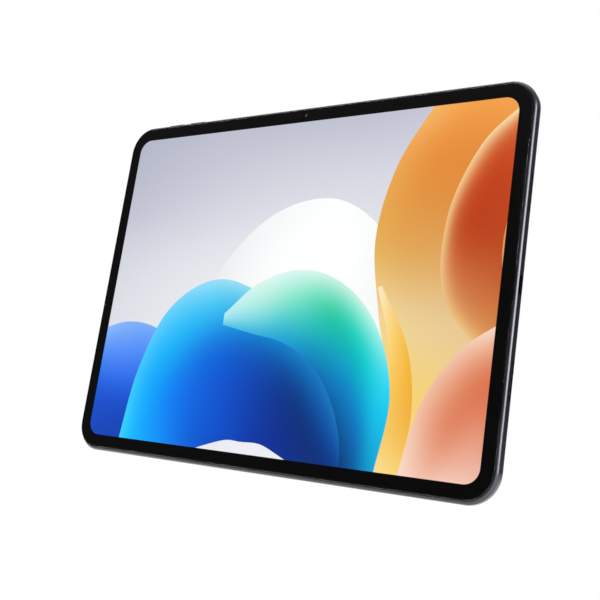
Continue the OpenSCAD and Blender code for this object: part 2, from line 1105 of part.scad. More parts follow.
module front_camera_module() {
    color([0.09, 0.09, 0.1])
        upright() {
            block(0, front_camera_y - front_can_drop, front_can_z, front_can, front_can, front_can_t);
            translate([0, front_camera_y, front_can_z + join])
                cylinder(r = front_barrel_r, h = ink_z - front_can_z - 2 * join);
        }
}

module light_sensor() {
    color([0.3, 0.3, 0.32])
        upright()
            block(sensor_x, front_camera_y, sensor_z, sensor_w, sensor_h, sensor_t);
}

// Up from the main board, along behind the upper edge, and forward to the light sensor.
module sensor_flex() {
    x0 = board_x - 8.5;
    run_y = 81.5;
    run_top = run_y + sensor_lead_w;
    foot_y = 57.5;
    x1 = sensor_x + 3.5;
    stub_w = 1.6;
    stub_h = 1.2;
    color("darkorange")
        upright() {
            flex_strip(x0, x0 + sensor_lead_w, foot_y, run_top);
            flex_strip(x0, x1, run_y, run_top);
            flex_strip(x1 - 5, x1 - 2, run_y + 2.3, run_y + 8.3);
            block(sensor_x, front_camera_y, flex_z, stub_w, stub_h, sensor_z - layer_gap - flex_z);
        }
}

module antenna_fill_left() {
    color([0.3, 0.3, 0.31])
        upright()
            antenna_bar(-1, fill_w, 0, floor_z);
}

module antenna_fill_right() {
    color([0.3, 0.3, 0.31])
        upright()
            antenna_bar(1, fill_w, 0, floor_z);
}

module antenna_left() {
    color("peru")
        upright()
            antenna_bar(-1, antenna_w, floor_z + layer_gap, antenna_t);
}

module antenna_right() {
    color("peru")
        upright()
            antenna_bar(1, antenna_w, floor_z + layer_gap, antenna_t);
}

module antenna_leads() {
    color([0.15, 0.15, 0.15])
        upright()
            translate([coax_x, coax_y, floor_z + 2 * coax_r])
                rotate([0, 90, 0])
                    cylinder(r = coax_r, h = coax_l);
}

rear_housing();
cover_glass();
border_ink();
glass_gasket();
display_tape();
display_panel();
display_driver_strip();
backlight();
support_plate();
graphite_sheet();
main_board();
processor();
memory_chip();
power_chip();
wireless_chip();
shield_can_upper();
shield_can_lower();
board_screws();
plate_screws();
battery_cell_left();
battery_cell_right();
battery_guard_board();
battery_tapes();
battery_flex();
display_flex();
port_board();
port_flex();
port_shell();
port_tongue();
port_screws();
speaker_left_upper();
speaker_left_lower();
speaker_right_upper();
speaker_right_lower();
speaker_meshes();
volume_up_button();
volume_down_button();
power_button();
volume_key_board();
volume_switches();
power_key_board();
power_switch();
card_tray();
card_reader();
microphones();
rear_camera_ring();
rear_camera_glass();
rear_camera_module();
rear_camera_barrel();
rear_camera_flex();
front_camera_module();
light_sensor();
sensor_flex();
antenna_fill_left();
antenna_fill_right();
antenna_left();
antenna_right();
antenna_leads();
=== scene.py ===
import json
import math

import bmesh
import bpy
import numpy as np
from mathutils import Matrix, Vector


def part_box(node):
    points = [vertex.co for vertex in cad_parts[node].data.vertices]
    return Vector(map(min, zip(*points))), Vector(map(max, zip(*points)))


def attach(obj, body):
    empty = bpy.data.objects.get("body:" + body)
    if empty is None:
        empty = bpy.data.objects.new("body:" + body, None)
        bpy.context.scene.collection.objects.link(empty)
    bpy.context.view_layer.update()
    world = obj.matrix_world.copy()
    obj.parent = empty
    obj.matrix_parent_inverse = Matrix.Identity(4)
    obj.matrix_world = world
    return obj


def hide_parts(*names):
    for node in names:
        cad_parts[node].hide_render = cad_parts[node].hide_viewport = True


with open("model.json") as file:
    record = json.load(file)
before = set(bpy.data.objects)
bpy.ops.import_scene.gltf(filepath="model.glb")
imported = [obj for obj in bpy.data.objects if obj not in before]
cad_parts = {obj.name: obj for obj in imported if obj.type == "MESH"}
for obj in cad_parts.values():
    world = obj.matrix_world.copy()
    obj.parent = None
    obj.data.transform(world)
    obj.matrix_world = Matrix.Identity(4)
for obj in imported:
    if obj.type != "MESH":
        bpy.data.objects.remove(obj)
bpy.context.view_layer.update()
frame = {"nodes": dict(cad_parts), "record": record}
nodes = frame["nodes"]

mm = 0.001
glassLow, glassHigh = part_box("cover_glass")
glassFront = glassLow.y                        # the plane that a finger touches
middleX = (glassLow.x + glassHigh.x) / 2
middleZ = (glassLow.z + glassHigh.z) / 2


def place(across, up, depth=0.0):
    # millimetres from the middle of the display; depth counts inwards from the glass front
    return Vector((middleX + across * mm, glassFront + depth * mm, middleZ + up * mm))


def toLinear(channel):
    return channel / 12.92 if channel <= 0.04045 else ((channel + 0.055) / 1.055) ** 2.4


def colour(hexCode):
    return tuple(toLinear(int(hexCode[i:i + 2], 16) / 255) for i in (0, 2, 4)) + (1.0,)


def add(tree, kind, inputs=None, **settings):
    # settings are the node's own; each input takes a value or another node's socket
    node = tree.nodes.new(kind)
    for name, value in settings.items():
        setattr(node, name, value)
    for name, value in (inputs or {}).items():
        if isinstance(value, bpy.types.NodeSocket):
            tree.links.new(value, node.inputs[name])
        else:
            node.inputs[name].default_value = value
    return node


def blank(name):
    material = bpy.data.materials.new(name)
    material.use_nodes = True
    material.node_tree.nodes.clear()
    return material, material.node_tree


def finishWith(tree, shader):
    add(tree, "ShaderNodeOutputMaterial", {"Surface": shader.outputs[0]})


def dress(piece, material):
    if not piece.material_slots:
        piece.data.materials.append(material)
    for held in piece.material_slots:
        held.material = material


# Every solid finish below is one base with its own numbers: two tones that cloud into each other,
# a fine surface grain that moves the roughness, and a bump of a real depth.
# These are the numbers of a finish that doesn't give its own.
usualLooks = {"stretch": (1, 1, 1), "cloud": 30, "cloudDetail": 2.0, "grainDetail": 3.0,
              "grainRoughness": 0.6, "swing": 0.05, "strength": 0.4, "metallic": 0.0,
              "coatRoughness": 0.08}


def solidFinish(name, ownLooks):
    looks = {**usualLooks, **ownLooks}
    material, tree = blank(name)
    where = add(tree, "ShaderNodeTexCoord").outputs["Object"]
    stretch = add(tree, "ShaderNodeMapping", {"Vector": where, "Scale": looks["stretch"]})
    grain = add(tree, "ShaderNodeTexNoise", {
        "Vector": stretch.outputs[0], "Scale": 1 / (looks["grain"] * mm),
        "Detail": looks["grainDetail"], "Roughness": looks["grainRoughness"]})
    cloud = add(tree, "ShaderNodeTexNoise", {
        "Vector": where, "Scale": 1 / (looks["cloud"] * mm), "Detail": looks["cloudDetail"]})
    tone = add(tree, "ShaderNodeMix", {
        0: cloud.outputs["Fac"], 6: colour(looks["tones"][0]), 7: colour(looks["tones"][1])},
        data_type="RGBA")
    dull = add(tree, "ShaderNodeMapRange", {
        "Value": grain.outputs["Fac"], "To Min": looks["roughness"] - looks["swing"],
        "To Max": looks["roughness"] + looks["swing"]})
    bump = add(tree, "ShaderNodeBump", {
        "Height": grain.outputs["Fac"], "Strength": looks["strength"], "Distance": looks["depth"] * mm})
    inputs = {"Base Color": tone.outputs[2], "Metallic": looks["metallic"],
              "Roughness": dull.outputs[0], "Normal": bump.outputs[0]}
    if "ior" in looks:
        inputs["IOR"] = looks["ior"]
    if "coat" in looks:
        inputs["Coat Weight"] = looks["coat"]
        inputs["Coat Roughness"] = looks["coatRoughness"]
    finishWith(tree, add(tree, "ShaderNodeBsdfPrincipled", inputs))
    return material


# Sizes of grain, cloud and depth are in millimetres. A metal keeps the default IOR.
finishes = {
    # bead-blasted, dyed and anodised aluminium: a soft even sheen with a very fine sparkle
    "housing_aluminium": ("aluminium_blasted_anodised", {
        "tones": ("3b3c40", "46474b"), "metallic": 1.0, "roughness": 0.27, "grain": 0.12, "depth": 0.003,
        "cloud": 40}),
    # the same dye over a finer blast, so keys and tray read a touch smoother than the housing
    "keys": ("aluminium_fine_blasted_anodised", {
        "tones": ("404145", "4b4c50"), "metallic": 1.0, "roughness": 0.26, "grain": 0.08, "depth": 0.002}),
    # turned and anodised aluminium: darker and smoother than the housing, so that its edge glints
    "camera_ring": ("aluminium_turned_anodised", {
        "tones": ("2e2f33", "3b3c41"), "metallic": 1.0, "roughness": 0.22, "grain": 0.05, "depth": 0.001}),
    # black ink, screen-printed on the back of the glass: dark and dull, so what the glass mirrors shows
    "border_ink": ("ink_screen_printed", {
        "tones": ("333335", "38383a"), "roughness": 0.5, "grain": 0.1, "depth": 0.0005, "ior": 1.45}),
    # moulded silicone: matt black with a faint skin
    "gasket": ("silicone_moulded", {
        "tones": ("0b0b0c", "121213"), "roughness": 0.62, "grain": 0.06, "depth": 0.004, "ior": 1.41}),
    # polyester reflector film: bright and satin, with faint lines from the stretching
    "backlight_film": ("polyester_film_stretched", {
        "tones": ("e6e7e4", "f1f1ee"), "roughness": 0.38, "grain": 0.3, "depth": 0.002, "ior": 1.6,
        "stretch": (1, 1, 8)}),
    # rolled and stamped stainless steel: lengthwise rolling lines
    "steel": ("stainless_steel_rolled", {
        "tones": ("9b9c9e", "b3b4b5"), "metallic": 1.0, "roughness": 0.3, "grain": 0.4, "depth": 0.002,
        "stretch": (1, 1, 12)}),
    # blackened steel screws: dark oil-black with light wear
    "screws": ("steel_blackened", {
        "tones": ("2a2a2c", "4a4a4c"), "metallic": 1.0, "roughness": 0.38, "grain": 0.15, "depth": 0.003,
        "cloud": 1.2}),
    # glass-fibre laminate under black-green solder mask: glossy, with a slight mottle of the two greens
    "circuit_board": ("laminate_solder_masked", {
        "tones": ("0b2417", "123524"), "roughness": 0.34, "grain": 0.45, "depth": 0.006, "ior": 1.55,
        "cloud": 6}),
    # moulded epoxy: matt black with a fine spark-eroded texture
    "chips": ("epoxy_moulded", {
        "tones": ("151517", "1d1d20"), "roughness": 0.56, "grain": 0.1, "depth": 0.005, "ior": 1.55}),
    # polyimide film over copper: amber and a little glossy
    "flex": ("polyimide_laminated", {
        "tones": ("8a4a12", "a9621c"), "roughness": 0.3, "grain": 0.5, "depth": 0.003, "ior": 1.65,
        "cloud": 8}),
    # aluminium-laminate pouch in black nylon: satin with soft dimples
    "battery": ("pouch_film_laminated", {
        "tones": ("1a1a1c", "242427"), "roughness": 0.42, "grain": 1.6, "depth": 0.02, "ior": 1.53}),
    # stretch-release tape: milky and soft
    "adhesive": ("acrylic_tape_cast", {
        "tones": ("d8d7d0", "e6e5de"), "roughness": 0.5, "grain": 0.4, "depth": 0.004, "ior": 1.47}),
    # graphite foil: dark grey flakes with a dull metallic glint
    "graphite": ("graphite_foil_rolled", {
        "tones": ("2c2c2f", "3c3c40"), "metallic": 0.6, "roughness": 0.4, "grain": 0.25, "depth": 0.003,
        "cloud": 3}),
    # glass-filled nylon from a fine-eroded mould: matt black
    "black_plastic": ("nylon_moulded", {
        "tones": ("121213", "19191b"), "roughness": 0.5, "grain": 0.14, "depth": 0.006, "ior": 1.53}),
    # nylon blasted flush with the housing: near its tone, but without the metal's sheen
    "antenna_fill": ("nylon_blasted", {
        "tones": ("414246", "4a4b4f"), "roughness": 0.5, "grain": 0.14, "depth": 0.004, "ior": 1.53}),
    # silver-plated snap domes: small, bright and smooth
    "switches": ("steel_silver_plated", {
        "tones": ("b9b8b3", "cfcec9"), "metallic": 1.0, "roughness": 0.2, "grain": 0.2, "depth": 0.001}),
}


# Clear, polished and very slightly green in its thickness. Finger film leaves a trace of haze, and
# the low IOR stands for an anti-reflection coating, which lets the display keep its deep blues.
coverGlass = {"tints": ("fafdfb", "ffffff"), "hazeScale": 18.0, "hazeDetail": 2.0, "dullest": 0.03,
              "ior": 1.33}


def chemicallyStrengthenedGlass():
    material, tree = blank("glass_strengthened_polished")
    where = add(tree, "ShaderNodeTexCoord").outputs["Object"]
    haze = add(tree, "ShaderNodeTexNoise", {
        "Vector": where, "Scale": coverGlass["hazeScale"], "Detail": coverGlass["hazeDetail"]})
    dull = add(tree, "ShaderNodeMapRange", {
        "Value": haze.outputs["Fac"], "To Min": 0.0, "To Max": coverGlass["dullest"]})
    tone = add(tree, "ShaderNodeMix", {
        0: haze.outputs["Fac"], 6: colour(coverGlass["tints"][0]), 7: colour(coverGlass["tints"][1])},
        data_type="RGBA")
    finishWith(tree, add(tree, "ShaderNodeBsdfPrincipled", {
        "Base Color": tone.outputs[2], "Roughness": dull.outputs[0], "IOR": coverGlass["ior"],
        "Transmission Weight": 1.0}))
    return material


# Lens cover: clear, with a faint violet tint that turns green towards grazing views, from its
# anti-reflection coating. The low IOR keeps its glint dim.
lensCover = {"tints": ("cfccec", "cfe8dc"), "edgeBlend": 0.35, "ior": 1.22}


def coatedLensGlass():
    material, tree = blank("glass_lens_coated")
    edge = add(tree, "ShaderNodeLayerWeight", {"Blend": lensCover["edgeBlend"]})
    tint = add(tree, "ShaderNodeMix", {
        0: edge.outputs["Facing"], 6: colour(lensCover["tints"][0]), 7: colour(lensCover["tints"][1])},
        data_type="RGBA")
    finishWith(tree, add(tree, "ShaderNodeBsdfPrincipled", {
        "Base Color": tint.outputs[2], "Roughness": 0.0, "IOR": lensCover["ior"],
        "Transmission Weight": 1.0}))
    return material


# Switched-off liquid crystal cell: near-black violet, smooth, with the faint lines of its pixel rows.
# They are drawn about 0.35 mm apart; the real ones are about 0.09.
polariser = {"tones": ("0d0d12", "14141b"), "rowScale": 900.0, "roughness": 0.25, "ior": 1.5}


def polariserFilm():
    material, tree = blank("polariser_film_laminated")
    where = add(tree, "ShaderNodeTexCoord").outputs["Object"]
    rows = add(tree, "ShaderNodeTexWave", {"Vector": where, "Scale": polariser["rowScale"]},
               bands_direction="Z")
    tone = add(tree, "ShaderNodeMix", {
        0: rows.outputs["Fac"], 6: colour(polariser["tones"][0]), 7: colour(polariser["tones"][1])},
        data_type="RGBA")
    finishWith(tree, add(tree, "ShaderNodeBsdfPrincipled", {
        "Base Color": tone.outputs[2], "Roughness": polariser["roughness"], "IOR": polariser["ior"]}))
    return material


# Photo-etched steel: a grid of round holes, drawn at a 0.45 mm pitch so that it shows; the real one is
# 0.25. A hole's rim lies between the two shares of the pitch in holeRim.
# the first tone is the painted shade inside the holes, the second is the steel's own
steelMesh = {"tones": ("050506", "1e1e20"), "pitch": 0.45, "holeRim": (0.25, 0.38), "metallic": 0.9,
             "roughness": 0.4, "strength": 0.6, "depth": 0.05}


def etchedSteelMesh():
    material, tree = blank("steel_mesh_etched")
    where = add(tree, "ShaderNodeTexCoord").outputs["Object"]
    cells = add(tree, "ShaderNodeTexVoronoi", {
        "Vector": where, "Scale": 1 / (steelMesh["pitch"] * mm), "Randomness": 0.0})
    holeAndShade = add(tree, "ShaderNodeMapRange", {
        "Value": cells.outputs["Distance"], "From Min": steelMesh["holeRim"][0],
        "From Max": steelMesh["holeRim"][1]})
    # the holes get painted shade: near-black where the dark behind the sheet would show
    tone = add(tree, "ShaderNodeMix", {
        0: holeAndShade.outputs[0], 6: colour(steelMesh["tones"][0]), 7: colour(steelMesh["tones"][1])},
        data_type="RGBA")
    bump = add(tree, "ShaderNodeBump", {
        "Height": holeAndShade.outputs[0], "Strength": steelMesh["strength"], "Distance": steelMesh["depth"] * mm})
    finishWith(tree, add(tree, "ShaderNodeBsdfPrincipled", {
        "Base Color": tone.outputs[2], "Metallic": steelMesh["metallic"],
        "Roughness": steelMesh["roughness"], "Normal": bump.outputs[0]}))
    return material


# The lit display: its colours are light, and the glass in front takes a few percent of it.
displayLight = {"strength": 1.08}


def litPicture():
    material, tree = blank("display_light_liquid_crystal")
    paint = add(tree, "ShaderNodeVertexColor", layer_name="picture")
    finishWith(tree, add(tree, "ShaderNodeEmission", {
        "Color": paint.outputs[0], "Strength": displayLight["strength"]}))
    return material


# Finishes of the added detail, which have no record slot of their own.
detailFinishes = {
    # moulded lens behind an infra-red coating: a small pupil with a soft glint; its grey tones, lighter than
    # the dark lens itself, are a painted reflection
    "front_lens": ("lens_resin_moulded", {
        "tones": ("34363e", "40424c"), "roughness": 0.22, "grain": 0.3, "depth": 0.0002, "ior": 1.6}),
    # ground glass under a broadband coating: near-black violet with a sharp glint
    "rear_lens": ("lens_glass_ground_coated", {
        "tones": ("12101f", "1c1a33"), "roughness": 0.08, "grain": 0.5, "depth": 0.0001, "ior": 1.7,
        "coat": 0.6}),
    # nickelled steel, deep drawn: smooth, and dark in the depth of the socket
    "socket_shell": ("steel_drawn_nickelled", {
        "tones": ("57585a", "68696b"), "metallic": 1.0, "roughness": 0.3, "grain": 0.2, "depth": 0.001}),
    # gold plate over nickel: warm and bright even in the socket's shade
    "contacts": ("copper_alloy_gold_plated", {
        "tones": ("d9a94e", "e8bf6a"), "metallic": 1.0, "roughness": 0.24, "grain": 0.1, "depth": 0.0005}),
}

slotOf = {part["node"]: part["material_slot"] for part in frame["record"]["subparts"]}
materialOf = {slot: solidFinish(name, looks) for slot, (name, looks) in finishes.items()}
materialOf.update({part: solidFinish(name, looks) for part, (name, looks) in detailFinishes.items()})
materialOf["cover_glass"] = chemicallyStrengthenedGlass()
materialOf["camera_glass"] = coatedLensGlass()
materialOf["display"] = polariserFilm()
materialOf["mesh"] = etchedSteelMesh()
for node, slot in slotOf.items():
    dress(nodes[node], materialOf[slot])
dress(nodes["port_shell"], materialOf["socket_shell"])
print("materials:", len(materialOf))


def newPiece(name, mesh, body, replaced=()):
    piece = bpy.data.objects.new(name, mesh)
    bpy.context.scene.collection.objects.link(piece)
    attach(piece, body)
    if replaced:
        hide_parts(*replaced)
    return piece


def roundedOutline(width, height, radius, steps=12):
    # corner arcs of one rounded rectangle, counter-clockwise from the lower right
    points = []
    for turn, (sx, sy) in enumerate(((1, -1), (1, 1), (-1, 1), (-1, -1))):
        for i in range(steps + 1):
            angle = math.radians(-90 + 90 * turn + 90 * i / steps)
            points.append((sx * (width / 2 - radius) + radius * math.cos(angle),
                           sy * (height / 2 - radius) + radius * math.sin(angle)))
    return points


def slab(name, width, height, radius, near, far, edge=0.05):
    # a thin rounded sheet between two depths, with its rims eased by edge
    bm = bmesh.new()
    layers = ((edge, near), (0, near + edge), (0, far - edge), (edge, far))
    rings = []
    for inset, depth in layers:
        outline = roundedOutline(width - 2 * inset, height - 2 * inset, radius - inset)
        rings.append([bm.verts.new(place(x, y, depth)) for x, y in outline])
    for a, b in zip(rings, rings[1:]):
        for i in range(len(a)):
            j = (i + 1) % len(a)
            bm.faces.new((a[i], b[i], b[j], a[j]))
    bm.faces.new(list(reversed(rings[0])))
    bm.faces.new(rings[-1])
    bmesh.ops.recalc_face_normals(bm, faces=bm.faces)
    mesh = bpy.data.meshes.new(name)
    bm.to_mesh(mesh)
    bm.free()
    return mesh


panelLow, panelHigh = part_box("display_panel")
panelWidth = (panelHigh.x - panelLow.x) / mm
panelHeight = (panelHigh.z - panelLow.z) / mm
panelFar = (panelHigh.y - glassFront) / mm
# Millimetres, but for the shortest edge that is kept in the picture's mesh, which is in metres.
display = {"cornerRadius": 7.4, "cellThickness": 0.3, "firstLayer": 0.02, "layerStep": 0.02,
           "shortestEdge": 1e-7}
cellNear = panelFar - display["cellThickness"]

cell = newPiece("display_cell", slab(
    "display_cell", panelWidth, panelHeight, display["cornerRadius"], cellNear, panelFar),
    "tablet", ["display_panel"])
dress(cell, materialOf["display"])


# A turned piece's corners are welded within weld metres, and stay sharp past the angle in degrees.
turning = {"weld": 1e-8, "sharpAngle": 35}


def turned(name, profile, centre, steps=48):
    # turns a profile of (radius, distance along Y) pairs in millimetres about a line through centre
    bm = bmesh.new()
    rings = []
    for radius, along in profile:
        corners = steps if radius else 1
        angles = [2 * math.pi * i / steps for i in range(corners)]
        rings.append([bm.verts.new(centre + Vector((
            radius * mm * math.cos(angle), along * mm, radius * mm * math.sin(angle))))
            for angle in angles])
    for a, b in zip(rings, rings[1:]):
        for i in range(steps):
            j = (i + 1) % steps
            corners = [a[i % len(a)], a[j % len(a)], b[j % len(b)], b[i % len(b)]]
            bm.faces.new(list(dict.fromkeys(corners)))
    bmesh.ops.remove_doubles(bm, verts=bm.verts[:], dist=turning["weld"])
    bmesh.ops.recalc_face_normals(bm, faces=bm.faces)
    for face in bm.faces:
        face.smooth = True
    mesh = bpy.data.meshes.new(name)
    bm.to_mesh(mesh)
    bm.free()
    mesh.set_sharp_from_angle(angle=math.radians(turning["sharpAngle"]))
    return mesh


def dome(radius, height, base, way, steps=10):
    # a lens element: flat at its base and crowned by height towards way
    angles = [math.pi / 2 * i / steps for i in range(steps)]
    crown = [(radius * math.cos(angle), base + way * height * math.sin(angle)) for angle in angles]
    return [(0, base), *crown, (0, base + way * height)]


# The front camera looks through its window in the black print.
frontLens = {"radius": 0.82, "crown": 0.13, "barrelRadius": 1.5}
frontLow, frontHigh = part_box("front_camera_module")
frontCentre = Vector(((frontLow.x + frontHigh.x) / 2, frontLow.y,
                      frontHigh.z - frontLens["barrelRadius"] * mm))
lens = newPiece("front_camera_lens", turned("front_camera_lens", dome(
    frontLens["radius"], frontLens["crown"], 0, -1), frontCentre), "tablet")
dress(lens, materialOf["front_lens"])

# The rear camera: a print ring under the cover, stepped baffle rings on the barrel, and its first lens.
# A baffle ring has its outer and its inner radius.
rearLens = {"maskOuter": 4.3, "maskInner": 2.75, "maskThickness": 0.04, "maskGap": 0.01, "maskSteps": 64,
            "lensRadius": 1.5, "crown": 0.35, "lensDepth": 0.5,
            "baffles": ((2.95, 2.75), (2.55, 2.35), (2.15, 1.95)), "baffleHeight": 0.06}
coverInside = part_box("rear_camera_glass")[0].y
barrelLow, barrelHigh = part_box("rear_camera_barrel")
rearX = (barrelLow.x + barrelHigh.x) / 2
rearZ = (barrelLow.z + barrelHigh.z) / 2
maskCentre = Vector((rearX, coverInside, rearZ))
barrelFront = Vector((rearX, barrelHigh.y, rearZ))
maskFar = -rearLens["maskGap"]
maskNear = maskFar - rearLens["maskThickness"]
mask = newPiece("rear_camera_mask", turned("rear_camera_mask", [
    (rearLens["maskOuter"], maskFar), (rearLens["maskInner"], maskFar), (rearLens["maskInner"], maskNear),
    (rearLens["maskOuter"], maskNear), (rearLens["maskOuter"], maskFar)],
    maskCentre, rearLens["maskSteps"]), "tablet")
dress(mask, materialOf["border_ink"])
element = newPiece("rear_camera_lens", turned("rear_camera_lens", dome(
    rearLens["lensRadius"], rearLens["crown"], -rearLens["lensDepth"], 1), barrelFront),
    "focus_barrel")
dress(element, materialOf["rear_lens"])
for count, (outer, inner) in enumerate(rearLens["baffles"], 1):
    name = "rear_camera_baffle_%d" % count
    top = rearLens["baffleHeight"]
    ring = [(outer, 0), (outer, top), (inner, top), (inner, 0), (outer, 0)]
    baffle = newPiece(name, turned(name, ring, barrelFront), "focus_barrel")
    dress(baffle, materialOf["black_plastic"])

# Twelve plated contacts on each side of the socket's tongue.
contacts = {"count": 12, "pitch": 0.5, "width": 0.26, "length": 1.9, "inset": 0.5, "thickness": 0.02,
            "bevel": 0.006, "tongueThickness": 0.7}


def tongueContacts():
    bm = bmesh.new()
    low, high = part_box("port_tongue")
    middleY = (low.y + high.y) / 2
    centreZ = (low.z + high.z) / 2
    farX = high.x - contacts["inset"] * mm
    size = Vector((contacts["length"], contacts["thickness"], contacts["width"])) * mm
    rise = (contacts["tongueThickness"] * mm + size.y) / 2
    for side in (-1, 1):
        for i in range(contacts["count"]):
            along = (i - (contacts["count"] - 1) / 2) * contacts["pitch"] * mm
            centre = Vector((farX - size.x / 2, middleY + side * rise, centreZ + along))
            made = bmesh.ops.create_cube(bm, size=1, matrix=Matrix.LocRotScale(centre, None, size))
            edges = list({edge for vert in made["verts"] for edge in vert.link_edges})
            bmesh.ops.bevel(bm, geom=edges, offset=contacts["bevel"] * mm, segments=1, affect="EDGES")
    mesh = bpy.data.meshes.new("port_contacts")
    bm.to_mesh(mesh)
    bm.free()
    return mesh


pads = newPiece("port_contacts", tongueContacts(), "tablet")
dress(pads, materialOf["contacts"])
print("cameras and socket detailed")


def smooth(table, steps):
    # a curve through the rows of a table, sampled evenly between them; every column follows the same rule
    rows = np.asarray(table, float)
    padded = np.concatenate([[2 * rows[0] - rows[1]], rows, [2 * rows[-1] - rows[-2]]])
    at = np.linspace(0, len(rows) - 1, steps)
    k = np.minimum(at.astype(int), len(rows) - 2)
    t = (at - k)[:, None] if rows.ndim == 2 else (at - k)[:, None, None]
    a, b, c, d = (padded[k + i] for i in range(4))
    square = (2 * a - 5 * b + 4 * c - d) * t ** 2
    cube = (3 * b - a - 3 * c + d) * t ** 3
    return 0.5 * (2 * b + (c - a) * t + square + cube)


def guideTable(guide):
    return [(x, y, *(int(shade[i:i + 2], 16) / 255 for i in (0, 2, 4))) for x, y, shade in guide]


def waveGrid(wave):
    # guides run along the wave; the surface passes through all of them in turn
    guides = np.stack([smooth(guideTable(guide), wave["along"]) for guide in wave["guides"]])
    return smooth(guides, wave["across"])


